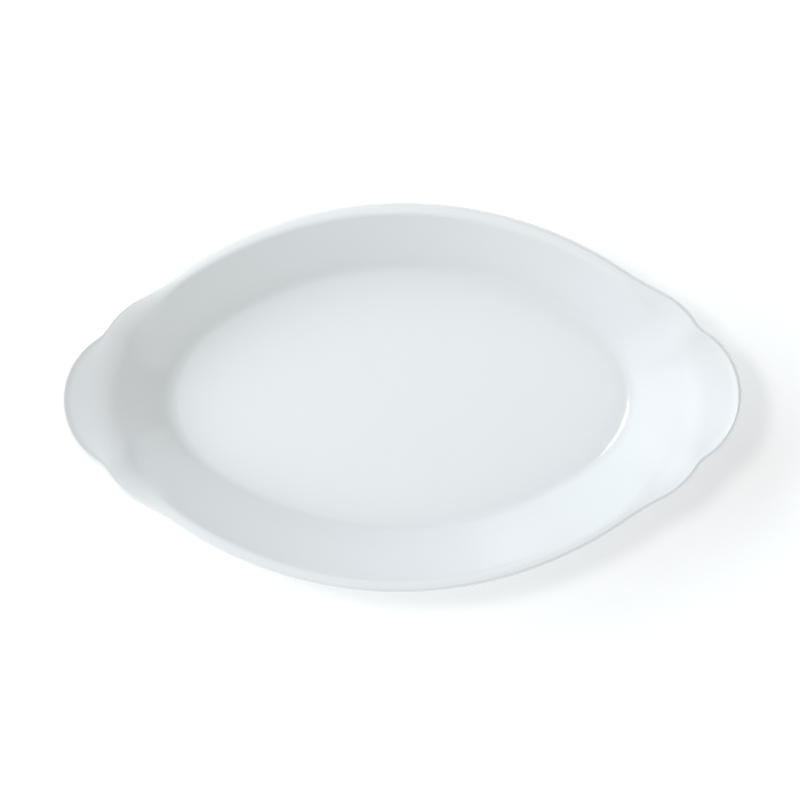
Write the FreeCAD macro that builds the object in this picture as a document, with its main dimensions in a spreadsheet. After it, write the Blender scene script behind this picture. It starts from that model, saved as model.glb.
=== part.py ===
"""Oval eared serving dish in glazed white china.

One pressed and fired china body carries fused skins of glaze. The mouth of the bowl is an oval
of four arcs. The rim is a slab with rounded edges, which follows that oval along the sides and
widens into a shoulder, a notch and an ear at each end. The wall slopes in to a flat well floor,
and the dish stands on an oval foot ring whose lower edge is wiped bare of glaze.

The glaze is the space between the china body and the same form grown by the glaze's thickness.
The foot ring parts it into a main coat and a patch under the base.

Frame: millimetres, +Z up, +X along the ears, origin on the table under the middle of the dish.
"""
import FreeCAD, Part
import math
import os
import Sketcher

Vector = FreeCAD.Vector

SIZES = {
    # overall
    "dish_length": 345.0,
    "dish_width": 197.0,
    "dish_height": 42.0,
    # plan: the mouth's end arcs, and the ears and shoulders beyond them
    "ear_reach": 22.5,
    "end_radius": 73.0,
    "ear_radius": 38.0,
    "notch_radius": 15.5,
    "shoulder_radius": 42.5,
    "shoulder_setback": 58.5,
    "shoulder_proud": 4.4,
    "waist_radius": 165.0,
    # rim
    "rim_thickness": 5.6,
    "rim_round": 2.7,
    "lip_round": 5.0,
    "neck_ledge": 0.5,
    "neck_round": 0.9,
    # wall and well
    "wall_run": 26.2,
    "wall_width": 6.4,
    "floor_thickness": 6.0,
    "well_round": 6.0,
    "heel_round": 3.0,
    # foot ring
    "foot_height": 2.5,
    "foot_width": 5.0,
    "foot_inset": 3.0,
    "foot_round": 1.2,
    "foot_root": 1.0,
    "foot_bare": 0.8,
    # thumb recess in the top of each ear
    "recess_depth": 0.8,
    "recess_border": 5.0,
    "recess_gap": 3.0,
    "recess_round": 0.6,
    # glaze
    "glaze_thickness": 0.3,
}


class Term:
    """A number together with the sheet expression that it comes from."""

    def __init__(self, value, text):
        self.value = value
        self.text = text

    @staticmethod
    def of(other):
        if isinstance(other, Term):
            return other
        return Term(float(other), repr(float(other)))

    def __add__(self, other):
        other = Term.of(other)
        return Term(self.value + other.value, f"({self.text} + {other.text})")

    def __sub__(self, other):
        other = Term.of(other)
        return Term(self.value - other.value, f"({self.text} - {other.text})")

    def __mul__(self, other):
        other = Term.of(other)
        return Term(self.value * other.value, f"({self.text} * {other.text})")

    def __truediv__(self, other):
        other = Term.of(other)
        return Term(self.value / other.value, f"({self.text} / {other.text})")

    def root(self):
        return Term(math.sqrt(self.value), f"sqrt({self.text})")

    def at_most(self, other):
        other = Term.of(other)
        return Term(min(self.value, other.value), f"min({self.text}; {other.text})")


doc = FreeCAD.newDocument("serving_dish")
sheet = doc.addObject("Spreadsheet::Sheet", "Sizes")
for row, (alias, number) in enumerate(SIZES.items(), start=1):
    sheet.set(f"A{row}", alias)
    sheet.set(f"B{row}", str(number))
    sheet.setAlias(f"B{row}", alias)
doc.recompute()

S = {alias: Term(float(sheet.get(alias)), f"Sizes.{alias}") for alias in SIZES}
NO_SKIN = Term(0.0, "0")
TABLE_Z = Term(0.0, "0")
GLAZE = S["glaze_thickness"]
EDGE_SHARE = 0.48  # of a slab's thickness: the largest rounding that either of its edges may have
LEDGE_SHARE = 1.6  # of a level ledge's width: the largest rounding down to the wall that it can hold

# Plan. The mouth oval has its end arcs' centres on the X axis and its side arcs' on the Y axis.
# The shoulder arcs stand a little proud of the side arcs' circles, and the waist arcs join them.
HALF_LENGTH = S["dish_length"] / 2
HALF_WIDTH = S["dish_width"] / 2
END_X = HALF_LENGTH - S["ear_reach"] - S["end_radius"]
SIDE_RADIUS = (END_X * END_X + HALF_WIDTH * HALF_WIDTH - S["end_radius"] * S["end_radius"]) / (
    (HALF_WIDTH - S["end_radius"]) * 2
)
SIDE_Y = HALF_WIDTH - SIDE_RADIUS
EAR_X = HALF_LENGTH - S["ear_radius"]
SHOULDER_X = HALF_LENGTH - S["shoulder_setback"]
SHOULDER_REACH = SIDE_RADIUS - S["shoulder_radius"] + S["shoulder_proud"]
SHOULDER_Y = SIDE_Y + (SHOULDER_REACH * SHOULDER_REACH - SHOULDER_X * SHOULDER_X).root()

# Section. Both faces of the wall are straight and parallel. The outer one meets the rim's
# underside a narrow ledge inside the rounding of the rim's edge.
CREST_Z = S["dish_height"]
RIM_UNDER_Z = S["dish_height"] - S["rim_thickness"]
FLOOR_Z = S["foot_height"] + S["floor_thickness"]
LEAN = S["wall_run"] / (CREST_Z - FLOOR_Z)
FACE_TILT = (LEAN * LEAN + 1).root()
RIM_ROUND = S["rim_round"].at_most(S["rim_thickness"] * EDGE_SHARE)
NECK_INSET = RIM_ROUND + S["neck_ledge"]

START, END, CENTRE = 1, 2, 3
X_AXIS, Y_AXIS = -1, -2
ORIGIN = -1


def outer_inset(level, skin):
    """Distance from the mouth oval in to the wall's outer face at a level."""
    return NECK_INSET + (RIM_UNDER_Z - level) * LEAN - skin * FACE_TILT


def inner_inset(level, skin):
    """Distance from the mouth oval in to the wall's inner face at a level."""
    return NECK_INSET + S["wall_width"] + (RIM_UNDER_Z - level) * LEAN + skin * FACE_TILT


def foot_outside():
    """Distance from the mouth oval in to the foot ring's outer side."""
    return outer_inset(S["foot_height"], NO_SKIN) + S["foot_inset"]


def body_plane(body, role):
    """The origin plane of a body by its role."""
    return next(item for item in body.Origin.OriginFeatures if item.Role == role)


def bind(thing, path, term):
    """Tie a property to the sheet."""
    thing.setExpression(path, term.text)


def level_sketch(body, name, level):
    """An empty sketch on a level plane of the body."""
    sketch = body.newObject("Sketcher::SketchObject", name)
    sketch.AttachmentSupport = [(body_plane(body, "XY_Plane"), "")]
    sketch.MapMode = "FlatFace"
    sketch.AttachmentOffset = FreeCAD.Placement(Vector(0, 0, level.value), FreeCAD.Rotation())
    bind(sketch, "AttachmentOffset.Base.z", level)
    return sketch


def constrain(sketch, kind, *items, term=None):
    """Add one constraint, and tie its value to the sheet where it has one."""
    if term is None:
        sketch.addConstraint(Sketcher.Constraint(kind, *items))
        return
    index = sketch.addConstraint(Sketcher.Constraint(kind, *items, term.value))
    bind(sketch, f"Constraints[{index}]", term)


def add_arc(sketch, centre, radius, start, end):
    """Add an arc that runs counter-clockwise from one point to another."""
    first = math.atan2(start.y - centre.y, start.x - centre.x)
    last = math.atan2(end.y - centre.y, end.x - centre.x)
    if last < first:
        last += 2 * math.pi
    circle = Part.Circle(centre, Vector(0, 0, 1), radius.value)
    return sketch.addGeometry(Part.ArcOfCircle(circle, first, last))


def add_oval(sketch, inset):
    """Add the mouth oval, moved in by an inset."""
    end_radius = S["end_radius"] - inset
    side_radius = SIDE_RADIUS - inset
    east = Vector(END_X.value, 0, 0)
    north = Vector(0, SIDE_Y.value, 0)
    joint = east + (east - north).normalize() * end_radius.value
    corners = [Vector(joint.x * side, joint.y * way, 0) for side, way in ((1, -1), (1, 1), (-1, 1), (-1, -1))]
    right = add_arc(sketch, east, end_radius, corners[0], corners[1])
    top = add_arc(sketch, north, side_radius, corners[1], corners[2])
    left = add_arc(sketch, -east, end_radius, corners[2], corners[3])
    bottom = add_arc(sketch, -north, side_radius, corners[3], corners[0])
    ring = [right, top, left, bottom]
    for arc, following in zip(ring, ring[1:] + ring[:1]):
        constrain(sketch, "Tangent", arc, END, following, START)
    constrain(sketch, "PointOnObject", right, CENTRE, X_AXIS)
    constrain(sketch, "PointOnObject", left, CENTRE, X_AXIS)
    constrain(sketch, "DistanceX", ORIGIN, START, right, CENTRE, term=END_X)
    constrain(sketch, "DistanceX", left, CENTRE, ORIGIN, START, term=END_X)
    constrain(sketch, "Radius", right, term=end_radius)
    constrain(sketch, "Equal", right, left)
    constrain(sketch, "Radius", top, term=side_radius)
    constrain(sketch, "Equal", top, bottom)


def outside_centre(first, first_radius, second, second_radius, radius):
    """Centre of the circle that touches two others from outside, to the left of first to second."""
    span = (second - first).Length
    near = first_radius.value + radius.value
    far = second_radius.value + radius.value
    along = (near**2 - far**2 + span**2) / (2 * span)
    across = math.sqrt(near**2 - along**2)
    ahead = (second - first).normalize()
    return first + ahead * along + Vector(-ahead.y, ahead.x, 0) * across


def touch(centre, radius, other):
    """The point of a circle that faces another centre."""
    return centre + (other - centre).normalize() * radius.value


def add_rim_quarter(sketch, skin):
    """Add a quarter of the rim's outline: side, waist, shoulder, notch and ear arcs, and two axes."""
    side_radius = SIDE_RADIUS + skin
    waist_radius = S["waist_radius"] - skin
    shoulder_radius = S["shoulder_radius"] + skin
    notch_radius = S["notch_radius"] - skin
    ear_radius = S["ear_radius"] + skin
    half_length = HALF_LENGTH + skin
    half_width = HALF_WIDTH + skin

    side = Vector(0, SIDE_Y.value, 0)
    shoulder = Vector(SHOULDER_X.value, SHOULDER_Y.value, 0)
    ear = Vector(EAR_X.value, 0, 0)
    waist = outside_centre(side, side_radius, shoulder, shoulder_radius, waist_radius)
    notch = outside_centre(shoulder, shoulder_radius, ear, ear_radius, notch_radius)
    side_end = touch(side, side_radius, waist)
    shoulder_start = touch(shoulder, shoulder_radius, waist)
    shoulder_end = touch(shoulder, shoulder_radius, notch)
    ear_start = touch(ear, ear_radius, notch)
    tip = Vector(half_length.value, 0, 0)
    crown = Vector(0, half_width.value, 0)

    side_arc = add_arc(sketch, side, side_radius, side_end, crown)
    waist_arc = add_arc(sketch, waist, waist_radius, side_end, shoulder_start)
    shoulder_arc = add_arc(sketch, shoulder, shoulder_radius, shoulder_end, shoulder_start)
    notch_arc = add_arc(sketch, notch, notch_radius, shoulder_end, ear_start)
    ear_arc = add_arc(sketch, ear, ear_radius, tip, ear_start)
    long_axis = sketch.addGeometry(Part.LineSegment(Vector(0, 0, 0), tip))
    short_axis = sketch.addGeometry(Part.LineSegment(Vector(0, 0, 0), crown))
    brace = sketch.addGeometry(Part.LineSegment(side, shoulder), True)

    constrain(sketch, "Tangent", side_arc, START, waist_arc, START)
    constrain(sketch, "Tangent", waist_arc, END, shoulder_arc, END)
    constrain(sketch, "Tangent", shoulder_arc, START, notch_arc, START)
    constrain(sketch, "Tangent", notch_arc, END, ear_arc, END)
    constrain(sketch, "Coincident", long_axis, START, ORIGIN, START)
    constrain(sketch, "Coincident", short_axis, START, ORIGIN, START)
    constrain(sketch, "Coincident", long_axis, END, ear_arc, START)
    constrain(sketch, "Coincident", short_axis, END, side_arc, END)
    constrain(sketch, "Horizontal", long_axis)
    constrain(sketch, "Vertical", short_axis)
    constrain(sketch, "PointOnObject", ear_arc, CENTRE, X_AXIS)
    constrain(sketch, "PointOnObject", side_arc, CENTRE, Y_AXIS)
    constrain(sketch, "Coincident", brace, START, side_arc, CENTRE)
    constrain(sketch, "Coincident", brace, END, shoulder_arc, CENTRE)
    constrain(sketch, "Distance", brace, term=SHOULDER_REACH)
    constrain(sketch, "DistanceX", ORIGIN, START, shoulder_arc, CENTRE, term=SHOULDER_X)
    constrain(sketch, "DistanceX", long_axis, START, long_axis, END, term=half_length)
    constrain(sketch, "DistanceY", short_axis, START, short_axis, END, term=half_width)
    constrain(sketch, "Radius", side_arc, term=side_radius)
    constrain(sketch, "Radius", waist_arc, term=waist_radius)
    constrain(sketch, "Radius", shoulder_arc, term=shoulder_radius)
    constrain(sketch, "Radius", notch_arc, term=notch_radius)
    constrain(sketch, "Radius", ear_arc, term=ear_radius)


def add_recess(sketch, skin):
    """Add the crescent recess of the +X ear: one arc inside the ear's edge, one round the bowl."""
    ear = Vector(EAR_X.value, 0, 0)
    bowl = Vector(END_X.value, 0, 0)
    outer_radius = S["ear_radius"] - S["recess_border"] - skin
    inner_radius = S["end_radius"] + S["recess_gap"] + skin
    span = (ear - bowl).Length
    along = (span**2 + inner_radius.value**2 - outer_radius.value**2) / (2 * span)
    across = math.sqrt(inner_radius.value**2 - along**2)
    lower_horn = bowl + Vector(along, -across, 0)
    upper_horn = bowl + Vector(along, across, 0)
    outer = add_arc(sketch, ear, outer_radius, lower_horn, upper_horn)
    inner = add_arc(sketch, bowl, inner_radius, lower_horn, upper_horn)
    constrain(sketch, "Coincident", outer, START, inner, START)
    constrain(sketch, "Coincident", outer, END, inner, END)
    for arc, place in ((outer, EAR_X), (inner, END_X)):
        constrain(sketch, "PointOnObject", arc, CENTRE, X_AXIS)
        constrain(sketch, "DistanceX", ORIGIN, START, arc, CENTRE, term=place)
    constrain(sketch, "Radius", outer, term=outer_radius)
    constrain(sketch, "Radius", inner, term=inner_radius)


def extrude(body, kind, name, sketch, length):
    """Pad a sketch up, or pocket it down."""
    feature = body.newObject(f"PartDesign::{kind}", name)
    feature.Profile = sketch
    feature.Length = length.value
    bind(feature, "Length", length)
    return feature


def mirror(body, name, feature, roles):
    """Mirror a feature about the body's origin planes, one after the other."""
    pattern = body.newObject("PartDesign::MultiTransform", name)
    steps = []
    for role in roles:
        step = body.newObject("PartDesign::Mirrored", f"{name}_{role}")
        step.MirrorPlane = (body_plane(body, role), [""])
        steps.append(step)
    pattern.Originals = [feature]
    pattern.Transformations = steps
    body.Tip = pattern


def loft(body, kind, name, low, high):
    """Join two ovals, each a level and an inset, by straight-sided faces, added or cut away."""
    sections = []
    for end, (level, inset) in (("low", low), ("high", high)):
        section = level_sketch(body, f"{name}_{end}", level)
        add_oval(section, inset)
        sections.append(section)
    feature = body.newObject(f"PartDesign::{kind}Loft", name)
    feature.Profile = sections[0]
    feature.Sections = sections[1:]
    feature.Ruled = True


def is_level(edge, level):
    """Whether an edge lies in the level plane at a height."""
    box = edge.BoundBox
    return abs(box.ZMin - level.value) < 1e-4 and abs(box.ZMax - level.value) < 1e-4


def is_on_oval(edge, inset):
    """Whether an edge is an arc of the mouth oval moved in by an inset."""
    if edge.Curve.TypeId != "Part::GeomCircle":
        return False
    centre = edge.Curve.Center
    place = (abs(centre.x), abs(centre.y), edge.Curve.Radius)
    end_arc = (END_X.value, 0, S["end_radius"].value - inset.value)
    side_arc = (0, abs(SIDE_Y.value), SIDE_RADIUS.value - inset.value)
    return math.dist(place, end_arc) < 1e-4 or math.dist(place, side_arc) < 1e-4


def round_edges(body, name, radius, chosen):
    """Fillet the edges of the body's last feature that a test picks out."""
    doc.recompute()
    base = body.Tip
    edges = [f"Edge{number}" for number, edge in enumerate(base.Shape.Edges, start=1) if chosen(edge)]
    feature = body.newObject("PartDesign::Fillet", name)
    feature.Base = (base, edges)
    feature.Radius = radius.value
    bind(feature, "Radius", radius)
    doc.recompute()


def add_rim(body, name, skin):
    """The rim and ears: a slab with rounded edges."""
    crest = CREST_Z + skin
    under = RIM_UNDER_Z - skin
    outline = level_sketch(body, f"{name}_rim_outline", under)
    add_rim_quarter(outline, skin)
    slab = extrude(body, "Pad", f"{name}_rim_quarter", outline, crest - under)
    mirror(body, f"{name}_rim", slab, ("YZ_Plane", "XZ_Plane"))
    round_edges(
        body,
        f"{name}_rim_rounds",
        RIM_ROUND + skin,
        lambda edge: is_level(edge, crest) or is_level(edge, under),
    )


def add_bowl(body, name, skin):
    """The bowl below the rim, with its hollow and the roundings where its faces meet."""
    crest = CREST_Z + skin
    under = RIM_UNDER_Z - skin
    heel = S["foot_height"] - skin
    floor = FLOOR_Z + skin
    inside_rim = CREST_Z - S["rim_thickness"] / 2
    wall = [(heel, outer_inset(heel, skin)), (inside_rim, outer_inset(inside_rim, skin))]
    well = [(floor, inner_inset(floor, skin)), (crest, inner_inset(crest, skin))]
    loft(body, "Additive", f"{name}_wall", *wall)
    loft(body, "Subtractive", f"{name}_well", *well)
    land = inner_inset(crest, skin) - RIM_ROUND
    lip_round = (S["lip_round"] + skin).at_most(land * LEDGE_SHARE)
    neck_round = (S["neck_round"] - skin).at_most(S["neck_ledge"] * LEDGE_SHARE)
    round_edges(body, f"{name}_well_round", S["well_round"] - skin, lambda edge: is_level(edge, floor))
    round_edges(
        body,
        f"{name}_lip_round",
        lip_round,
        lambda edge: is_level(edge, crest) and is_on_oval(edge, inner_inset(crest, skin)),
    )
    round_edges(
        body,
        f"{name}_neck_round",
        neck_round,
        lambda edge: is_level(edge, under) and is_on_oval(edge, outer_inset(under, skin)),
    )
    round_edges(body, f"{name}_heel_round", S["heel_round"] + skin, lambda edge: is_level(edge, heel))


def add_foot(body, name, skin, bottom):
    """The foot ring, from a level up into the floor, with roundings at its root."""
    heel = S["foot_height"] - skin
    outside = foot_outside() - skin
    inside = foot_outside() + S["foot_width"] + skin
    ring = level_sketch(body, f"{name}_foot_plan", bottom)
    add_oval(ring, outside)
    add_oval(ring, inside)
    extrude(body, "Pad", f"{name}_foot", ring, S["foot_height"] + S["floor_thickness"] / 2 - bottom)
    round_edges(
        body,
        f"{name}_foot_root",
        S["foot_root"] - skin,
        lambda edge: is_level(edge, heel) and (is_on_oval(edge, outside) or is_on_oval(edge, inside)),
    )


def add_recesses(body, name, skin):
    """The shallow crescent recess in the top of each ear."""
    crest = CREST_Z + skin
    crescent = level_sketch(body, f"{name}_crescent", crest)
    add_recess(crescent, skin)
    cut = extrude(body, "Pocket", f"{name}_recess", crescent, S["recess_depth"])
    mirror(body, f"{name}_recesses", cut, ("YZ_Plane",))
    recess_floor = crest - S["recess_depth"]
    round_edges(
        body,
        f"{name}_recess_root",
        S["recess_round"] - skin,
        lambda edge: is_level(edge, recess_floor),
    )


def build_form(name, skin):
    """The dish's form, grown all over by a skin, without its foot ring."""
    body = doc.addObject("PartDesign::Body", name)
    body.Label = name
    add_rim(body, name, skin)
    add_bowl(body, name, skin)
    add_recesses(body, name, skin)
    return body


def build_base_zone():
    """A block under the well that takes in the glaze inside the foot ring and none outside it."""
    zone = doc.addObject("PartDesign::Body", "base_zone")
    zone.Label = "base_zone"
    plan = level_sketch(zone, "base_zone_plan", TABLE_Z)
    add_oval(plan, foot_outside() + S["foot_width"] / 2)
    extrude(zone, "Pad", "base_zone_pad", plan, S["foot_height"] + S["floor_thickness"] / 2)
    return zone


def combine(kind, name, base, tool):
    """A boolean of two objects."""
    result = doc.addObject(f"Part::{kind}", name)
    result.Label = name
    result.Base = base
    result.Tool = tool
    return result


china_body = build_form("china_body", NO_SKIN)
add_foot(china_body, "china_body", NO_SKIN, TABLE_Z)
round_edges(
    china_body,
    "china_body_foot_rounds",
    S["foot_round"].at_most(S["foot_width"] * EDGE_SHARE),
    lambda edge: is_level(edge, TABLE_Z),
)

glaze_form = build_form("glaze_form", GLAZE)
add_foot(glaze_form, "glaze_form", GLAZE, S["foot_bare"])
glaze = combine("Cut", "glaze", glaze_form, china_body)
base_zone = build_base_zone()
glaze_coat = combine("Cut", "glaze_coat", glaze, base_zone)
glaze_base = combine("Common", "glaze_base", glaze, base_zone)
doc.recompute()

SUB_PARTS = [china_body, glaze_coat, glaze_base]

for thing in doc.Objects:
    if "Invalid" in thing.State or "Error" in thing.State:
        raise RuntimeError(f"{thing.Label} failed: {thing.State}")
for sub_part in SUB_PARTS:
    shape = sub_part.Shape
    if shape.isNull() or not shape.isValid() or len(shape.Solids) != 1:
        raise RuntimeError(f"{sub_part.Label} is not one valid solid")

os.makedirs("parts", exist_ok=True)
for sub_part in SUB_PARTS:
    sub_part.Shape.exportStep(f"parts/{sub_part.Label}.step")
    print(f"{sub_part.Label}: {sub_part.Shape.Volume / 1000:.1f} cm3")
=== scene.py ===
"""Looks for an oval eared serving dish in glazed white china.

Three pieces stand for the three CAD nodes. The china body is one pressed and fired form. The main
glaze coat is a thin closed skin over everything down to the foot ring, and the base glaze is the
same kind of skin inside the ring. The ring's lower edge is wiped bare, so the china shows there.

All three are drawn from the same rings. Each step of the dish's section is a ring of points round
its plan lines, and the steps run from the middle of the base, over the rim, to the well floor. At
the two ends the wall leans further and the ears fall inward, both growing with the edge's flare.

Frame: metres, +Z up, +X along the ears, origin on the table under the middle of the dish.
"""

import logging
import math
from dataclasses import dataclass, field
from enum import Enum
from typing import Any, Sequence, Union

import bmesh
import bpy
import numpy as np
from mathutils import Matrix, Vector


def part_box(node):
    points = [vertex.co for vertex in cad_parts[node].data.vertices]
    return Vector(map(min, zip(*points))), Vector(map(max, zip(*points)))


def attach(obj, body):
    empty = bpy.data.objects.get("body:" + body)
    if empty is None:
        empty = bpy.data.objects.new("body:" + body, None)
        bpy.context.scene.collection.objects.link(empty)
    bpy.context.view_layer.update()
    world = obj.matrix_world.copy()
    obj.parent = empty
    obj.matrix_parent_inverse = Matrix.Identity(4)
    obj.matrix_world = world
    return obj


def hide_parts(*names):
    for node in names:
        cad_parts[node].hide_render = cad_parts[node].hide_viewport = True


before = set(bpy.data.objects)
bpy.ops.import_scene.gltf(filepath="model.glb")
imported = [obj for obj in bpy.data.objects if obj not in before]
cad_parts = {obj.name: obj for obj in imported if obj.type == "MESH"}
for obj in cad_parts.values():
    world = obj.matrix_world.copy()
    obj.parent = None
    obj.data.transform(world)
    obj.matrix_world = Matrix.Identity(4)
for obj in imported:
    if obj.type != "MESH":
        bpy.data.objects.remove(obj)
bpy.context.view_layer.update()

MM = 0.001
BODY = "root"
LOG = logging.getLogger("china_dish")

Number = Union[float, np.ndarray]


# ------------------------------------------------------------------------------------ plan lines


@dataclass(frozen=True)
class Arc:
    """One arc of a plan line, from angle start to angle stop about its centre."""

    x: float
    y: float
    radius: float
    start: float
    stop: float
    hollow: bool = False

    @property
    def length(self) -> float:
        """The arc's length."""
        return self.radius * abs(self.stop - self.start)

    def at(self, share: float) -> tuple[float, float, float, float]:
        """A point of the arc and the way the dish faces there.

        Args:
            share: how far along the arc, from 0 to 1.

        Returns:
            The point's x and y, then the x and y of the unit vector away from the dish.
        """
        angle = self.start + share * (self.stop - self.start)
        away = (math.cos(angle), math.sin(angle))
        side = -1.0 if self.hollow else 1.0
        return (
            self.x + self.radius * away[0],
            self.y + self.radius * away[1],
            side * away[0],
            side * away[1],
        )


def touching_centre(
    first: tuple[float, float, float], second: tuple[float, float, float], radius: float
) -> tuple[float, float]:
    """The centre of the circle that touches two others from outside, beyond the dish's edge.

    Args:
        first: x, y and radius of the circle nearer the ear.
        second: x, y and radius of the circle nearer the middle.
        radius: the touching circle's radius.

    Returns:
        The centre's x and y.
    """
    reach_a, reach_b = first[2] + radius, second[2] + radius
    dx, dy = second[0] - first[0], second[1] - first[1]
    apart = math.hypot(dx, dy)
    along = (reach_a**2 - reach_b**2 + apart**2) / (2 * apart)
    aside = math.sqrt(reach_a**2 - along**2)
    ux, uy = dx / apart, dy / apart
    return first[0] + along * ux + aside * uy, first[1] + along * uy - aside * ux


@dataclass
class PlanLines:
    """The dish's edge and the oval of its mouth, as matched stations all round.

    Each station has a point on the edge, the way the edge faces there, the oval point straight
    inside it, the way the oval faces, and the flare, which is how far the edge is beyond the oval.
    """

    per_quarter: int = 80
    end_x: float = 77.0 * MM
    end_radius: float = 73.0 * MM
    half_width: float = 98.5 * MM
    ear_x: float = 134.5 * MM
    ear_radius: float = 38.0 * MM
    notch_radius: float = 15.5 * MM
    shoulder_radius: float = 42.5 * MM
    shoulder_x: float = 114.0 * MM
    shoulder_proud: float = 4.4 * MM
    waist_radius: float = 165.0 * MM
    edge: np.ndarray = field(init=False)
    facing: np.ndarray = field(init=False)
    oval: np.ndarray = field(init=False)
    outward: np.ndarray = field(init=False)
    flare: np.ndarray = field(init=False)

    def __post_init__(self) -> None:
        """Lays the stations round the edge and matches each with its oval point."""
        spread = self.half_width - self.end_radius
        self.side_radius = (
            (self.end_x**2 + self.half_width**2 - self.end_radius**2) / (2 * spread)
        )
        self.side_y = self.half_width - self.side_radius
        self._lay_edge()
        self._match_oval()

    @property
    def count(self) -> int:
        """The number of stations all round."""
        return 4 * self.per_quarter

    def quarter_arcs(self) -> list[Arc]:
        """Works out the arcs of one quarter of the edge.

        Returns:
            The arcs in order, from the tip of the ear to the middle of the side.
        """
        reach = self.side_radius - self.shoulder_radius + self.shoulder_proud
        shoulder_y = self.side_y + math.sqrt(reach**2 - self.shoulder_x**2)
        ear = (self.ear_x, 0.0, self.ear_radius)
        shoulder = (self.shoulder_x, shoulder_y, self.shoulder_radius)
        side = (0.0, self.side_y, self.side_radius)
        notch = touching_centre(ear, shoulder, self.notch_radius)
        waist = touching_centre(shoulder, side, self.waist_radius)

        def bearing(circle: Sequence[float], point: Sequence[float]) -> float:
            """The angle at which a point lies from a circle's centre."""
            return math.atan2(point[1] - circle[1], point[0] - circle[0])

        return [
            Arc(*ear, 0.0, bearing(ear, notch)),
            Arc(*notch, self.notch_radius, bearing(notch, ear) % (2 * math.pi),
                bearing(notch, shoulder) % (2 * math.pi), hollow=True),
            Arc(*shoulder, bearing(shoulder, notch), bearing(shoulder, waist)),
            Arc(*waist, self.waist_radius, bearing(waist, shoulder) % (2 * math.pi),
                bearing(waist, side) % (2 * math.pi), hollow=True),
            Arc(*side, bearing(side, waist), math.pi / 2),
        ]

    def _lay_edge(self) -> None:
        """Spaces the stations evenly along the edge and mirrors the quarter into all four."""
        arcs = self.quarter_arcs()
        whole = sum(arc.length for arc in arcs)
        quarter = []
        for k in range(self.per_quarter + 1):
            left = whole * k / self.per_quarter
            for arc in arcs:
                if left <= arc.length or arc is arcs[-1]:
                    quarter.append(arc.at(min(left / arc.length, 1.0)))
                    break
                left -= arc.length
        first = np.array(quarter[:-1])
        second = np.array(quarter[:0:-1])
        turn_x = np.array([-1.0, 1.0, -1.0, 1.0])
        turn_y = np.array([1.0, -1.0, 1.0, -1.0])
        rows = np.vstack([first, second * turn_x, first * turn_x * turn_y, second * turn_y])
        self.edge, self.facing = rows[:, :2], rows[:, 2:]

    def _match_oval(self) -> None:
        """Finds each station's point on the oval of four arcs, square in from the edge."""
        signs = np.where(self.edge < 0, -1.0, 1.0)
        quarter = np.abs(self.edge)
        from_end = quarter - np.array([self.end_x, 0.0])
        from_side = quarter - np.array([0.0, self.side_y])
        joint = math.atan2(-self.side_y, self.end_x)
        on_end = np.arctan2(from_end[:, 1], from_end[:, 0]) < joint
        spoke = np.where(on_end[:, None], from_end, from_side)
        radius = np.where(on_end, self.end_radius, self.side_radius)
        reach = np.linalg.norm(spoke, axis=1)
        away = spoke / reach[:, None]
        self.flare = np.maximum(reach - radius, 0.0)
        self.outward = away * signs
        self.oval = (quarter - away * self.flare[:, None]) * signs


# --------------------------------------------------------------------------------------- section


@dataclass
class Ring:
    """One ring of points round the dish, the way the surface faces at each, and two marks.

    pooled runs to 1 in hollows, for gathered glaze and painted shade, and thin to 1 where it draws
    off an edge.
    """

    points: np.ndarray
    faces: np.ndarray
    pooled_and_shaded: float = 0.0
    thin: float = 0.0

    def raised(self, skin: float) -> np.ndarray:
        """The ring's points moved out of the surface by a skin's thickness."""
        return self.points + skin * self.faces


@dataclass
class Corner:
    """A corner of the section, as reach out from a plan line and height, with its rounding."""

    reach: Number
    height: Number
    radius: Number = 0.0
    arc_steps: int = 1
    run_steps: int = 1
    pooled_and_shaded: float = 0.0
    thin: float = 0.0


@dataclass
class Bend:
    """Steps of a section in reach and height, with the way the surface faces at each."""

    reach: np.ndarray
    height: np.ndarray
    face_out: np.ndarray
    face_up: np.ndarray
    pooled_and_shaded: float = 0.0
    thin: float = 0.0


def trace_section(corners: Sequence[Corner], count: int) -> list[Bend]:
    """Follows corners with their roundings, keeping the solid on the left.

    Args:
        corners: the section's corners in order. The first and last are its plain ends.
        count: how many stations the plan has, as every size may differ from station to station.

    Returns:
        One Bend for each step.
    """
    spots = [
        np.stack([np.broadcast_to(c.reach, count), np.broadcast_to(c.height, count)], axis=1)
        for c in corners
    ]

    def unit(v: np.ndarray) -> np.ndarray:
        """Vectors brought to length 1."""
        return v / np.maximum(np.linalg.norm(v, axis=1, keepdims=True), 1e-12)

    def step(spot: np.ndarray, along: np.ndarray, pooled_and_shaded: float, thin: float) -> Bend:
        """A step at a spot, facing to the right of the way along."""
        return Bend(spot[:, 0], spot[:, 1], along[:, 1], -along[:, 0], pooled_and_shaded, thin)

    steps: list[Bend] = []
    leave = spots[0]
    for i in range(1, len(corners)):
        corner, into = corners[i], unit(spots[i] - spots[i - 1])
        last = i == len(corners) - 1
        out = into if last else unit(spots[i + 1] - spots[i])
        cosine = np.clip((into * out).sum(axis=1), -1.0, 1.0)
        turn = np.arccos(cosine)
        radius = np.broadcast_to(corner.radius, count)
        trim = radius * np.tan(turn / 2)
        arrive = spots[i] - into * trim[:, None]
        for k in range(corner.run_steps):
            share = k / corner.run_steps
            steps.append(step(leave + (arrive - leave) * share, into, 0.0, 0.0))
        if last:
            steps.append(step(arrive, into, corner.pooled_and_shaded, corner.thin))
            break
        inward = unit(out - into * cosine[:, None])
        for k in range(corner.arc_steps):
            angle = turn * k / corner.arc_steps
            sine, rest = np.sin(angle)[:, None], (1 - np.cos(angle))[:, None]
            spot = arrive + radius[:, None] * (sine * into + rest * inward)
            along = np.cos(angle)[:, None] * into + sine * inward
            weight = math.sin(math.pi * k / corner.arc_steps)
            steps.append(step(spot, along, corner.pooled_and_shaded * weight, corner.thin * weight))
        leave = spots[i] + out * trim[:, None]
    return steps


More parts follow.
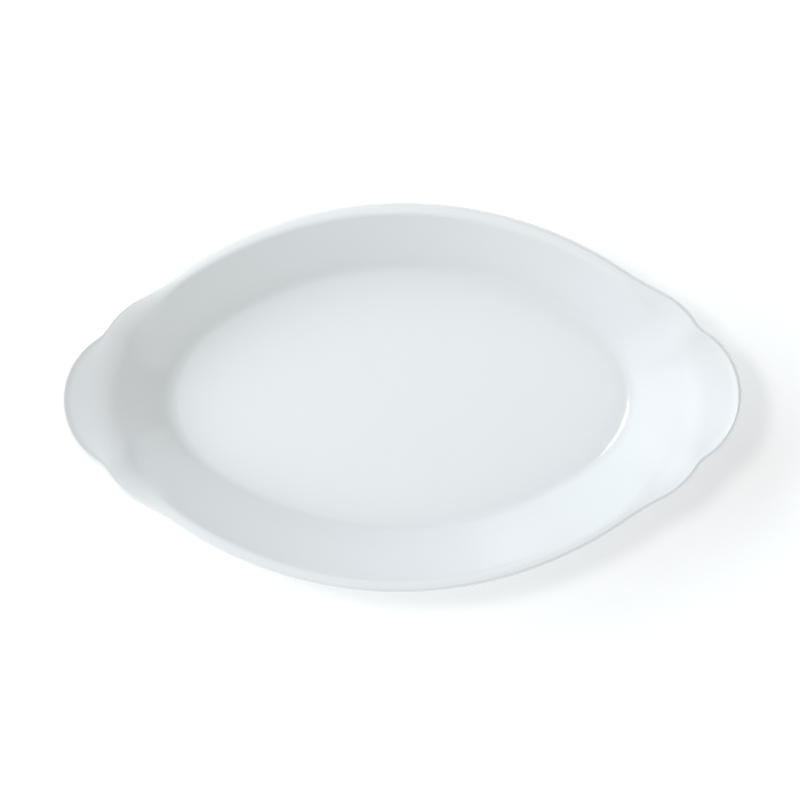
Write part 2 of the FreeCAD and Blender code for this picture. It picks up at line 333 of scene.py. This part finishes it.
@dataclass
class DishSection:
    """The dish's section as rings, from the base's middle, over the rim, to the well floor."""

    plan: PlanLines
    height: float = 42.0 * MM
    rim_thickness: float = 5.6 * MM
    rim_round: float = 1.9 * MM
    neck_inset: float = 3.19 * MM
    neck_round: float = 0.8 * MM
    ear_neck_round: float = 5.0 * MM
    wall_run: float = 26.2 * MM
    wall_width: float = 6.4 * MM
    foot_height: float = 2.5 * MM
    foot_width: float = 5.0 * MM
    foot_inset: float = 3.0 * MM
    foot_round: float = 1.2 * MM
    foot_root: float = 1.0 * MM
    foot_bare: float = 0.8 * MM
    floor_thickness: float = 6.0 * MM
    well_round: float = 6.0 * MM
    end_well_round: float = 12.0 * MM
    heel_round: float = 3.0 * MM
    lip_round: float = 4.0 * MM
    ear_lip_round: float = 45.0 * MM
    lip_growth: float = 6.0 * MM
    lip_room: float = 0.92
    end_lean_gain: float = 0.6
    ear_tilt: float = 0.43
    ear_under_tilt: float = 0.41
    tilt_growth: float = 3.0 * MM
    bead_height: float = 0.4 * MM
    bead_width: float = 1.6 * MM
    land_steps: int = 16
    land_crowding: float = 1.35
    ledge_steps: int = 6
    edge_steps: int = 12
    base_margin: float = 4.0 * MM
    floor_margin: float = 5.5 * MM
    notch_spread: tuple[int, int] = (2, 1)

    def __post_init__(self) -> None:
        """Works out the levels and the wall's slope, then draws the rings."""
        self.floor_z = self.foot_height + self.floor_thickness
        self.rim_under_z = self.height - self.rim_thickness
        side_lean = self.wall_run / (self.height - self.floor_z)
        outer_rise = self.rim_under_z - self.foot_height
        gain = self.end_lean_gain
        eased = self._eased_flare(self.notch_spread)
        self.lean = side_lean + gain * np.tanh(eased / (gain * outer_rise))
        self.heel_reach = -self.neck_inset - outer_rise * side_lean
        self.toe_reach = (
            -self.neck_inset - (self.rim_under_z - self.floor_z) * side_lean - self.wall_width
        )
        self.rings: list[Ring] = []
        self._draw_under()
        self._draw_edge()
        self._draw_top()

    def _grown(self, over: float) -> np.ndarray:
        """A share that is 0 along the sides and nears 1 as the edge flares past the oval."""
        return 1 - np.exp(-self.plan.flare / over)

    def _eased_flare(self, spreads: Sequence[int]) -> np.ndarray:
        """The flare with its dips at the notches softened, and nowhere more than it really is.

        Args:
            spreads: how many stations each smoothing pass reaches to either side.

        Returns:
            The eased flare at each station.
        """
        def near(values: np.ndarray, spread: int) -> np.ndarray:
            """Each station's neighbours, row by row."""
            return np.array([np.roll(values, k) for k in range(-spread, spread + 1)])

        eased = near(self.plan.flare, sum(spreads)).min(axis=0)
        for spread in spreads:
            eased = near(eased, spread).mean(axis=0)
        return eased

    def outer_reach(self, z: Number) -> Number:
        """How far the wall's outer face is from the oval at a height; inside is negative."""
        return self.heel_reach + (z - self.foot_height) * self.lean

    def inner_reach(self, z: Number) -> Number:
        """How far the wall's inner face is from the oval at a height; inside is negative."""
        return self.toe_reach + (z - self.floor_z) * self.lean

    def _on_oval(self, bend: Bend) -> Ring:
        """Lays a step of the section round the mouth's oval.

        Args:
            bend: the step, its reach counted outward from the oval.

        Returns:
            The ring.
        """
        flat = self.plan.oval + bend.reach[:, None] * self.plan.outward
        out = bend.face_out[:, None] * self.plan.outward
        return self._ring(flat, bend.height, out, bend.face_up, bend.pooled_and_shaded, bend.thin)

    def _on_edge(self, bend: Bend) -> Ring:
        """Lays a step of the section round the dish's edge.

        Args:
            bend: the step, its reach counted outward from the edge.

        Returns:
            The ring.
        """
        flat = self.plan.edge + bend.reach[:, None] * self.plan.facing
        out = bend.face_out[:, None] * self.plan.facing
        return self._ring(flat, bend.height, out, bend.face_up, bend.pooled_and_shaded, bend.thin)

    @staticmethod
    def _ring(
        flat: np.ndarray, z: Number, out: np.ndarray, up: Number, pooled_and_shaded: float, thin: float
    ) -> Ring:
        """Puts a ring together.

        Args:
            flat: its points in plan.
            z: its height, one for all or one for each.
            out: the part of the way it faces that lies in plan.
            up: the part of the way it faces that points up.
            pooled_and_shaded: its mark for gathered glaze and painted shade in hollows.
            thin: its mark for thin glaze.

        Returns:
            The ring.
        """
        count = len(flat)
        points = np.column_stack([flat, np.broadcast_to(z, count)])
        faces = np.column_stack([out, np.broadcast_to(up, count)])
        return Ring(points, faces, pooled_and_shaded, thin)

    def _draw_under(self) -> None:
        """Draws the base, the foot ring, the heel, the outer wall and the neck."""
        flare = self.plan.flare
        outside = self.heel_reach - self.foot_inset
        inside = outside - self.foot_width
        level = self.foot_height
        brow_reach = flare - self.rim_round
        tilt = self.ear_under_tilt * self._grown(self.tilt_growth)
        ledge = brow_reach - self.outer_reach(self.rim_under_z)
        drop = tilt * ledge / (1 - tilt * self.lean)
        neck_z = self.rim_under_z - drop
        neck_round = self.neck_round + (self.ear_neck_round - self.neck_round) * (
            drop / drop.max()
        )
        # The pooled marks at the foot's roots and the neck paint shade into those hollows as well
        # as gathered glaze.
        corners = [
            Corner(inside - self.base_margin, level),
            Corner(inside, level, self.foot_root, 4, 2, pooled_and_shaded=0.8),
            Corner(inside, 0.0, self.foot_round, 6, 3, thin=1.0),
            Corner(outside, 0.0, self.foot_round, 6, 2, thin=1.0),
            Corner(outside, level, self.foot_root, 4, 3, pooled_and_shaded=0.8),
            Corner(self.heel_reach, level, self.heel_round, 6, 2),
            Corner(self.outer_reach(neck_z), neck_z, neck_round, 6, 9, pooled_and_shaded=0.6),
            Corner(brow_reach, self.rim_under_z),
        ]
        bends = trace_section(corners, self.plan.count)[:-1]
        self.bare_from = self._last_step_above(bends, self.foot_bare, 0, len(bends) // 2, False)
        self.bare_to = self._last_step_above(bends, self.foot_bare, 0, len(bends) // 2, True)
        self.rings += [self._on_oval(bend) for bend in bends]
        neck, brow = self.rings[-1], self._edge_ring(-math.pi / 2)
        for k in range(1, self.ledge_steps):
            self.rings.append(self._between(neck, brow, k / self.ledge_steps, 0.0))

    @staticmethod
    def _last_step_above(
        bends: Sequence[Bend], level: float, first: int, last: int, outer: bool
    ) -> int:
        """The step just above a level, on the foot's inner or outer side."""
        low = [i for i in range(first, last) if bends[i].height[0] < level]
        return max(low) + 1 if outer else min(low) - 1

    def _edge_ring(self, angle: float) -> Ring:
        """Makes a ring on the rounded edge of the rim.

        Args:
            angle: where on the edge, from straight under (-pi/2) to straight above (pi/2).

        Returns:
            The ring.
        """
        count = self.plan.count
        reach = -self.rim_round * (1 - math.cos(angle))
        half = self.rim_thickness / 2
        z = self.rim_under_z + half + half * math.sin(angle)
        bend = Bend(
            np.full(count, reach), np.full(count, z),
            np.full(count, math.cos(angle)), np.full(count, math.sin(angle)),
            thin=max(math.sin(angle), 0.0) ** 2,
        )
        return self._on_edge(bend)

    def _draw_edge(self) -> None:
        """Draws the half-round edge of the rim."""
        for k in range(self.edge_steps + 1):
            self.rings.append(self._edge_ring(math.pi * (k / self.edge_steps - 0.5)))

    @staticmethod
    def _between(first: Ring, second: Ring, share: float, thin: float) -> Ring:
        """Makes a ring part of the way from one ring to another.

        Args:
            first: the ring to start from.
            second: the ring to go to.
            share: how far along, from 0 to 1.
            thin: the new ring's mark for thin glaze.

        Returns:
            The ring.
        """
        points = first.points + (second.points - first.points) * share
        faces = first.faces + (second.faces - first.faces) * share
        faces = faces / np.linalg.norm(faces, axis=1, keepdims=True)
        return Ring(points, faces, 0.0, thin)

    def _draw_top(self) -> None:
        """Draws the land of the rim and ears, the lip's roll, the wall and the well's edge."""
        flare, count = self.plan.flare, self.plan.count
        tilt = self.ear_tilt * self._grown(self.tilt_growth)
        brim_reach = flare - self.rim_round
        level_run = brim_reach - self.inner_reach(self.height)
        fall = tilt * level_run / (1 - tilt * self.lean)
        run = np.hypot(level_run + fall * self.lean, fall)
        half_turn = (np.arctan2(1.0, self.lean) - np.arctan(tilt)) / 2
        ends = self._grown(self.lip_growth)
        lip = self.lip_round + (self.ear_lip_round - self.lip_round) * ends
        lip = np.minimum(lip, self.lip_room * run / np.tan(half_turn))
        floor = self.floor_z
        well = self.well_round + (self.end_well_round - self.well_round) * ends
        # The pooled mark at the well's edge paints shade into that crease as well as gathered
        # glaze.
        corners = [
            Corner(brim_reach, self.height),
            Corner(self.inner_reach(self.height - fall), self.height - fall, lip, 12, 1, thin=0.5),
            Corner(self.inner_reach(floor), floor, well, 10, 12, pooled_and_shaded=0.5),
            Corner(self.inner_reach(floor) - self.floor_margin, floor, 0.0, 1, 2),
        ]
        bends = trace_section(corners, count)[1:]
        brim, roll = self.rings[-1], self._on_oval(bends[0])
        width = np.linalg.norm(roll.points[:, :2] - brim.points[:, :2], axis=1)
        bead = self.bead_height * self._grown(self.tilt_growth)
        for k in range(1, self.land_steps):
            share = (k / self.land_steps) ** self.land_crowding
            ring = self._between(brim, roll, share, 0.5 * (1 - share) ** 4)
            off_edge = 1 - np.exp(-((share * width / self.bead_width) ** 2))
            ring.points[:, 2] -= bead * off_edge * (1 - share**2) ** 2
            self.rings.append(ring)
        self.rings += [self._on_oval(bend) for bend in bends]


# ---------------------------------------------------------------------------------------- meshes


@dataclass
class RingMesh:
    """A mesh grown ring by ring from one circle, with marks for the glaze's colour, one of which
    also paints shade.
    """

    count: int
    mesh: bmesh.types.BMesh = field(default_factory=bmesh.new)
    loop: list = field(default_factory=list)

    def __post_init__(self) -> None:
        """Gives the mesh its two mark layers."""
        self.pooled_and_shaded = self.mesh.verts.layers.float.new("pooled_and_shaded")
        self.thin = self.mesh.verts.layers.float.new("thin")

    def _place(self, ring: Ring, skin: float) -> None:
        """Puts the current loop on a ring.

        Args:
            ring: the ring.
            skin: how far the loop is raised from it.
        """
        for vert, spot in zip(self.loop, ring.raised(skin)):
            vert.co = spot
            vert[self.pooled_and_shaded] = ring.pooled_and_shaded
            vert[self.thin] = ring.thin

    def start(self, ring: Ring, skin: float) -> None:
        """Starts from a circle, laid on the first ring, and closes it with a grid.

        Args:
            ring: the ring to start on.
            skin: how far the surface is raised from the ring.
        """
        made = bmesh.ops.create_circle(
            self.mesh, cap_ends=False, radius=1.0, segments=self.count
        )
        self.loop = list(made["verts"])
        self._place(ring, skin)
        self.close()

    def grow(self, ring: Ring, skin: float) -> None:
        """Extrudes the current loop and lays the new one on the next ring.

        Args:
            ring: the ring to lay it on.
            skin: how far the surface is raised from the ring.
        """
        edges = [
            self.mesh.edges.get((self.loop[i - 1], self.loop[i])) for i in range(self.count)
        ]
        made = bmesh.ops.extrude_edge_only(self.mesh, edges=edges)
        fresh = [item for item in made["geom"] if isinstance(item, bmesh.types.BMVert)]
        partner = {}
        members = set(self.loop)
        for vert in fresh:
            for edge in vert.link_edges:
                other = edge.other_vert(vert)
                if other in members:
                    partner[other] = vert
        self.loop = [partner[vert] for vert in self.loop]
        self._place(ring, skin)

    def close(self) -> None:
        """Fills the current loop with a grid of four-sided faces."""
        side = self.count // 4
        first = side // 2
        order = [self.loop[(first + i) % self.count] for i in range(self.count)]

        def run(start: int) -> list:
            """The edges of one side of the loop."""
            return [
                self.mesh.edges.get((order[start + i], order[(start + i + 1) % self.count]))
                for i in range(side)
            ]

        bmesh.ops.grid_fill(
            self.mesh, edges=run(0) + run(2 * side), mat_nr=0, use_smooth=True,
            use_interp_simple=True,
        )

    def finish(self, name: str) -> bpy.types.Object:
        """Turns the faces outwards and makes the object.

        Args:
            name: the piece's name.

        Returns:
            The new object, linked to the scene, at the origin.
        """
        bmesh.ops.recalc_face_normals(self.mesh, faces=self.mesh.faces)
        data = bpy.data.meshes.new(name)
        self.mesh.to_mesh(data)
        self.mesh.free()
        data.shade_smooth()
        piece = bpy.data.objects.new(name, data)
        bpy.context.scene.collection.objects.link(piece)
        return piece


# ------------------------------------------------------------------------------------- materials


class Signal:
    """A shader value that can be used in Python sums; each operator adds its Math node."""

    def __init__(self, shader: "Shader", socket: bpy.types.NodeSocket) -> None:
        """Wraps an output socket of a shader's node."""
        self.shader = shader
        self.socket = socket

    def _math(self, operation: str, left: Any, right: Any, clamp: bool = False) -> "Signal":
        """The Math node for an operation on two values."""
        return self.shader.node(
            "ShaderNodeMath", {"operation": operation, "use_clamp": clamp}, {0: left, 1: right}
        )

    def __add__(self, other: Any) -> "Signal":
        """Sum."""
        return self._math("ADD", self, other)

    __radd__ = __add__

    def __mul__(self, other: Any) -> "Signal":
        """Product."""
        return self._math("MULTIPLY", self, other)

    __rmul__ = __mul__

    def __rsub__(self, other: Any) -> "Signal":
        """Difference from a number on the left."""
        return self._math("SUBTRACT", other, self)

    def clamped(self) -> "Signal":
        """The value held between 0 and 1."""
        return self._math("ADD", self, 0.0, clamp=True)


class Shader:
    """A node material being put together."""

    def __init__(self, name: str) -> None:
        """Starts an empty material with its output and principled shader."""
        self.material = bpy.data.materials.new(name)
        self.material.use_nodes = True
        self.tree = self.material.node_tree
        self.tree.nodes.clear()
        self.output = self.tree.nodes.new("ShaderNodeOutputMaterial")
        self.surface = self.tree.nodes.new("ShaderNodeBsdfPrincipled")
        self.tree.links.new(self.surface.outputs[0], self.output.inputs["Surface"])

    def node(
        self, kind: str, settings: dict[str, Any], inputs: dict[Any, Any], out: Any = 0
    ) -> Signal:
        """Adds a node.

        Args:
            kind: the node's type.
            settings: the node's own properties, set before the sockets.
            inputs: a value or a Signal for each named or numbered socket.
            out: which output to hand back.

        Returns:
            The chosen output.
        """
        made = self.tree.nodes.new(kind)
        for key, value in settings.items():
            setattr(made, key, value)
        for key, value in inputs.items():
            self.feed(made.inputs[key], value)
        return Signal(self, made.outputs[out])

    def feed(self, socket: bpy.types.NodeSocket, value: Any) -> None:
        """Sets a socket, or links a Signal to it.

        Args:
            socket: the socket.
            value: a plain value or a Signal.
        """
        if isinstance(value, Signal):
            self.tree.links.new(value.socket, socket)
        else:
            socket.default_value = value

    def set(self, **inputs: Any) -> None:
        """Sets the principled shader's sockets; an underscore in a name stands for a space."""
        for key, value in inputs.items():
            self.feed(self.surface.inputs[key.replace("_", " ")], value)

    def place(self) -> Signal:
        """The point in the dish's own frame."""
        return self.node("ShaderNodeTexCoord", {}, {}, "Object")

    def mark(self, name: str) -> Signal:
        """One of the mesh's marks."""
        return self.node(
            "ShaderNodeAttribute", {"attribute_name": name, "attribute_type": "GEOMETRY"}, {},
            "Fac",
        )

    def noise(self, scale: float, detail: float = 2.0, roughness: float = 0.5) -> Signal:
        """Soft noise with about one cloud in 1/scale metres."""
        return self.node(
            "ShaderNodeTexNoise", {},
            {"Vector": self.place(), "Scale": scale, "Detail": detail, "Roughness": roughness},
            "Fac",
        )

    def blend(self, share: Any, first: Any, second: Any) -> Signal:
        """A colour between two colours."""
        return self.node(
            "ShaderNodeMix", {"data_type": "RGBA"}, {0: share, 6: first, 7: second}, 2
        )

    def step(self, value: Signal, low: float, high: float) -> Signal:
        """A smooth step of a value from 0 at low to 1 at high."""
        return self.node(
            "ShaderNodeMapRange", {"interpolation_type": "SMOOTHSTEP"},
            {"Value": value, "From Min": low, "From Max": high},
        )


Colour = tuple[float, float, float, float]


class Wipe(Enum):
    """How well a glazed face was dipped: the table side is thinner and less even."""

    SHOW_SIDE = 0.0
    TABLE_SIDE = 1.0


@dataclass(frozen=True)
class GlazeFinish:
    """Clear, cool white feldspar glaze over white china."""

    name: str
    wipe: Wipe
    white: Colour = (0.825, 0.838, 0.842, 1.0)
    # Darker tint for glaze gathered in hollows, partly painted shade.
    pooled_and_shaded_white: Colour = (0.79, 0.82, 0.825, 1.0)
    thin_white: Colour = (0.845, 0.85, 0.848, 1.0)
    speck: Colour = (0.47, 0.42, 0.36, 1.0)
    roughness: float = 0.16
    ripple: float = 0.04
    wave_height: float = 4.0 * MM
    cloud_scale: float = 14.0
    edge_scale: float = 55.0
    speck_scale: float = 150.0
    wave_scale: float = 28.0
    peel_scale: float = 260.0
    grit_scale: float = 1500.0

    def build(self) -> bpy.types.Material:
        """Makes the glaze material.

        Returns:
            The material.
        """
        shader = Shader(self.name)
        uneven = self.wipe.value
        clouds = shader.noise(self.cloud_scale, 3.0)
        # Painted shade with gathered glaze: the colour darkens where the pooled mark lies, in the
        # foot's roots, under the rim and at the well's edge, with soft clouds of tone.
        pooled_and_shaded = (shader.mark("pooled_and_shaded") * 0.75 + clouds * 0.30).clamped()
        body = shader.blend(pooled_and_shaded, self.white, self.pooled_and_shaded_white)
        broken = 0.55 + 0.45 * shader.noise(self.edge_scale)
        edge = (shader.mark("thin") * broken).clamped()
        body = shader.blend(edge, body, self.thin_white)
        specks = self._specks(shader)
        colour = shader.blend(specks, body, self.speck)
        fine = shader.noise(self.grit_scale, 2.0)
        dull = self.roughness + 0.05 * uneven + 0.05 * clouds + 0.04 * edge
        shader.set(
            Base_Color=colour,
            Roughness=dull,
            IOR=1.52,
            Coat_Weight=1.0 - uneven * 0.3,
            Coat_Roughness=0.06,
            Coat_IOR=1.5,
        )
        shader.set(Normal=self._ripple(shader, fine))
        return shader.material

    def _specks(self, shader: Shader) -> Signal:
        """Makes rare pin specks of iron in the glaze, a fraction of a millimetre across.

        Args:
            shader: the material being made.

        Returns:
            How much of the speck's colour shows.
        """
        cells = {"Vector": shader.place(), "Scale": self.speck_scale}
        near = shader.node("ShaderNodeTexVoronoi", {}, cells, "Distance")
        chance = shader.node("ShaderNodeTexVoronoi", {}, cells, "Color")
        pick = shader.node("ShaderNodeSeparateColor", {}, {0: chance}, 0)
        small = 1.0 - shader.step(near, 0.015, 0.04 + 0.02 * self.wipe.value)
        few = shader.step(pick, 0.965, 0.975)
        return (small * few * 0.55).clamped()

    def _ripple(self, shader: Shader, fine: Signal) -> Signal:
        """Makes the glaze's slow waves and its faint orange peel.

        Args:
            shader: the material being made.
            fine: the finest grain.

        Returns:
            The normal.
        """
        slow = shader.noise(self.wave_scale, 1.0)
        peel = shader.noise(self.peel_scale, 2.0)
        height = slow + peel * 0.10 + fine * 0.012
        return shader.node(
            "ShaderNodeBump", {},
            {"Height": height, "Strength": self.ripple * (1.0 + self.wipe.value),
             "Distance": self.wave_height},
        )


@dataclass(frozen=True)
class BiscuitFinish:
    """Bare fired china, matt and finely grained, greyed where it rubs on the table."""

    name: str = "bare_fired_china"
    white: Colour = (0.78, 0.76, 0.71, 1.0)
    worn: Colour = (0.56, 0.54, 0.50, 1.0)
    grain_dark: Colour = (0.66, 0.63, 0.57, 1.0)
    grain_scale: float = 1800.0
    patch_scale: float = 70.0
    grain_height: float = 0.2 * MM

    def build(self) -> bpy.types.Material:
        """Makes the bare china material.

        Returns:
            The material.
        """
        shader = Shader(self.name)
        grain = shader.noise(self.grain_scale, 4.0, 0.7)
        patch = shader.noise(self.patch_scale, 3.0)
        height = shader.node("ShaderNodeSeparateXYZ", {}, {0: shader.place()}, 2)
        low = 1.0 - shader.step(height, 0.05 * MM, 0.5 * MM)
        wear = (low * shader.step(patch, 0.42, 0.62)).clamped()
        colour = shader.blend(shader.step(grain, 0.45, 0.75), self.white, self.grain_dark)
        colour = shader.blend(wear * 0.6, colour, self.worn)
        shader.set(Base_Color=colour, Roughness=0.86 - 0.22 * wear, IOR=1.5)
        shader.set(
            Normal=shader.node(
                "ShaderNodeBump", {},
                {"Height": grain, "Strength": 0.35, "Distance": self.grain_height},
            )
        )
        return shader.material


# ---------------------------------------------------------------------------------------- pieces


@dataclass
class ChinaBody:
    """The pressed and fired china form, which shows at the wiped edge of the foot ring."""

    section: DishSection
    finish: BiscuitFinish = field(default_factory=BiscuitFinish)
    name: str = "china_form"
    node: str = "china_body"
    slot: str = "fired_china"

    def build(self) -> bpy.types.Object:
        """Builds and dresses the body.

        Returns:
            The piece.
        """
        rings = self.section.rings
        shape = RingMesh(self.section.plan.count)
        shape.start(rings[0], 0.0)
        for ring in rings[1:]:
            shape.grow(ring, 0.0)
        shape.close()
        return dress(shape.finish(self.name), self.finish.build(), self.node)


@dataclass
class GlazeSkin:
    """A closed skin of fused glaze over a stretch of the section."""

    section: DishSection
    finish: GlazeFinish
    name: str
    node: str
    slot: str
    thickness: float = 0.3 * MM
    edge_share: float = 0.6

    def stretch(self) -> list[Ring]:
        """The rings the skin covers, from its closed middle to its free edge.

        Returns:
            The rings in order.
        """
        raise NotImplementedError

    def build(self) -> bpy.types.Object:
        """Builds the skin from its inner face, round its free edge, and back on its outer face.

        Returns:
            The piece.
        """
        rings = self.stretch()
        shape = RingMesh(self.section.plan.count)
        shape.start(rings[0], 0.0)
        for ring in rings[1:]:
            shape.grow(ring, 0.0)
        shape.grow(rings[-1], self.thickness * self.edge_share)
        for ring in rings[-2::-1]:
            shape.grow(ring, self.thickness)
        shape.close()
        return dress(shape.finish(self.name), self.finish.build(), self.node)


@dataclass
class MainGlaze(GlazeSkin):
    """The coat over the well, the walls, the rim, the ears and the outside."""

    def stretch(self) -> list[Ring]:
        """The rings from the well floor back to the foot's outer side."""
        return self.section.rings[: self.section.bare_to - 1 : -1]


@dataclass
class BaseGlaze(GlazeSkin):
    """The patch inside the foot ring."""

    def stretch(self) -> list[Ring]:
        """The rings from the middle of the base to the foot's inner side."""
        return self.section.rings[: self.section.bare_from + 1]


def dress(
    piece: bpy.types.Object, material: bpy.types.Material, node: str
) -> bpy.types.Object:
    """Gives a piece its material and its place in the frame.

    Args:
        piece: the piece.
        material: its material.
        node: the CAD node it stands for.

    Returns:
        The piece.
    """
    piece.data.materials.append(material)
    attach(piece, BODY)
    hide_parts(node)
    return piece


# ---------------------------------------------------------------------------------------- studio


@dataclass(frozen=True)
class SoftLight:
    """A flat soft light that looks at the dish from a bearing and a height in degrees."""

    name: str
    bearing: float
    height: float
    distance: float
    width: float
    depth: float
    power: float
    colour: tuple[float, float, float] = (1.0, 1.0, 1.0)
    mirrored: bool = True

    def build(self) -> None:
        """Makes the light and hangs it in place; if not mirrored, it leaves no highlight."""
        lamp = bpy.data.lights.new(self.name, "AREA")
        lamp.shape = "RECTANGLE"
        lamp.size = self.width
        lamp.size_y = self.depth
        lamp.energy = self.power
        lamp.color = self.colour
        holder = bpy.data.objects.new(self.name, lamp)
        bearing, height = math.radians(self.bearing), math.radians(self.height)
        aim = Vector(
            (math.cos(height) * math.cos(bearing), math.cos(height) * math.sin(bearing),
             math.sin(height))
        )
        holder.location = aim * self.distance
        holder.rotation_euler = aim.to_track_quat("Z", "Y").to_euler()
        holder.visible_glossy = self.mirrored
        bpy.context.scene.collection.objects.link(holder)


@dataclass
class Studio:
    """A pale floor, soft lights and a surround that is brighter on one side.

    The two large lights leave no highlight of their own; the small one gives the well's edge its.
    """

    lights: tuple[SoftLight, ...] = (
        SoftLight("key_softbox", 156.0, 36.0, 1.7, 3.2, 0.85, 28.0, (0.885, 0.945, 1.0), False),
        SoftLight("top_softbox", 150.0, 70.0, 1.5, 0.3, 0.3, 4.4),
        SoftLight("fill_card", -10.0, 30.0, 1.7, 3.0, 1.0, 11.6, (0.97, 1.0, 1.0), False),
    )
    surround: Colour = (0.965, 0.995, 1.0, 1.0)
    surround_mean: float = 0.355
    surround_slope: tuple[float, float, float] = (-0.24, -0.15, 0.02)
    floor_size: float = 12.0
    floor_white: Colour = (0.86, 0.86, 0.86, 1.0)
    floor_glow: float = 0.30

    def build(self) -> None:
        """Sets up the floor, the lights and the surround."""
        self._floor()
        for light in self.lights:
            light.build()
        self._surround()
        bpy.context.scene.view_settings.view_transform = "Standard"

    def _floor(self) -> None:
        """A plain pale floor that glows a little, as on a lit table."""
        data = bpy.data.meshes.new("floor")
        mesh = bmesh.new()
        bmesh.ops.create_grid(mesh, x_segments=1, y_segments=1, size=self.floor_size / 2)
        mesh.to_mesh(data)
        mesh.free()
        floor = bpy.data.objects.new("floor", data)
        bpy.context.scene.collection.objects.link(floor)
        shader = Shader("pale_floor")
        cloud = shader.noise(3.0)
        tone = shader.blend(cloud, self.floor_white, tuple(0.98 * c for c in self.floor_white))
        shader.set(
            Base_Color=tone, Roughness=0.8, Emission_Color=self.floor_white,
            Emission_Strength=self.floor_glow,
        )
        data.materials.append(shader.material)

    def _surround(self) -> None:
        """The even light from all round, a little stronger from one side."""
        world = bpy.data.worlds.new("surround")
        world.use_nodes = True
        tree = world.node_tree
        sky = tree.nodes["Background"]
        sky.inputs["Color"].default_value = self.surround
        way = tree.nodes.new("ShaderNodeTexCoord")
        slope = tree.nodes.new("ShaderNodeVectorMath")
        slope.operation = "DOT_PRODUCT"
        slope.inputs[1].default_value = self.surround_slope
        level = tree.nodes.new("ShaderNodeMath")
        level.operation = "ADD"
        level.use_clamp = True
        level.inputs[1].default_value = self.surround_mean
        tree.links.new(way.outputs["Generated"], slope.inputs[0])
        tree.links.new(slope.outputs["Value"], level.inputs[0])
        tree.links.new(level.outputs[0], sky.inputs["Strength"])
        bpy.context.scene.world = world


@dataclass
class OverheadCamera:
    """A long lens straight above the dish."""

    rim_z: float
    lift: float = 2.4
    frame_width: float = 404.9 * MM
    sensor: float = 36.0
    offset_x: float = -0.5 * MM
    offset_y: float = -1.3 * MM
    roll: float = -0.49

    def build(self) -> None:
        """Makes the camera and gives it to the scene."""
        lens = bpy.data.cameras.new("overhead")
        lens.sensor_width = self.sensor
        lens.lens = self.sensor * self.lift / self.frame_width
        camera = bpy.data.objects.new("overhead", lens)
        camera.location = (self.offset_x, self.offset_y, self.rim_z + self.lift)
        camera.rotation_euler = (0.0, 0.0, math.radians(self.roll))
        bpy.context.scene.collection.objects.link(camera)
        bpy.context.scene.camera = camera


def main() -> None:
    """Builds every piece in order, then the studio, and reports each one."""
    logging.basicConfig(level=logging.INFO, format="%(name)s: %(message)s")
    section = DishSection(PlanLines())
    makers = [
        ChinaBody(section),
        MainGlaze(section, GlazeFinish("white_glaze_coat", Wipe.SHOW_SIDE),
                  "glaze_main_skin", "glaze_coat", "white_glaze"),
        BaseGlaze(section, GlazeFinish("white_glaze_under", Wipe.TABLE_SIDE),
                  "glaze_base_skin", "glaze_base", "base_glaze"),
    ]
    for maker in makers:
        piece = maker.build()
        LOG.info("%s: %d faces", piece.name, len(piece.data.polygons))
    rim_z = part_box("china_body")[1].z
    Studio().build()
    OverheadCamera(rim_z).build()


if __name__ == "__main__":
    main()
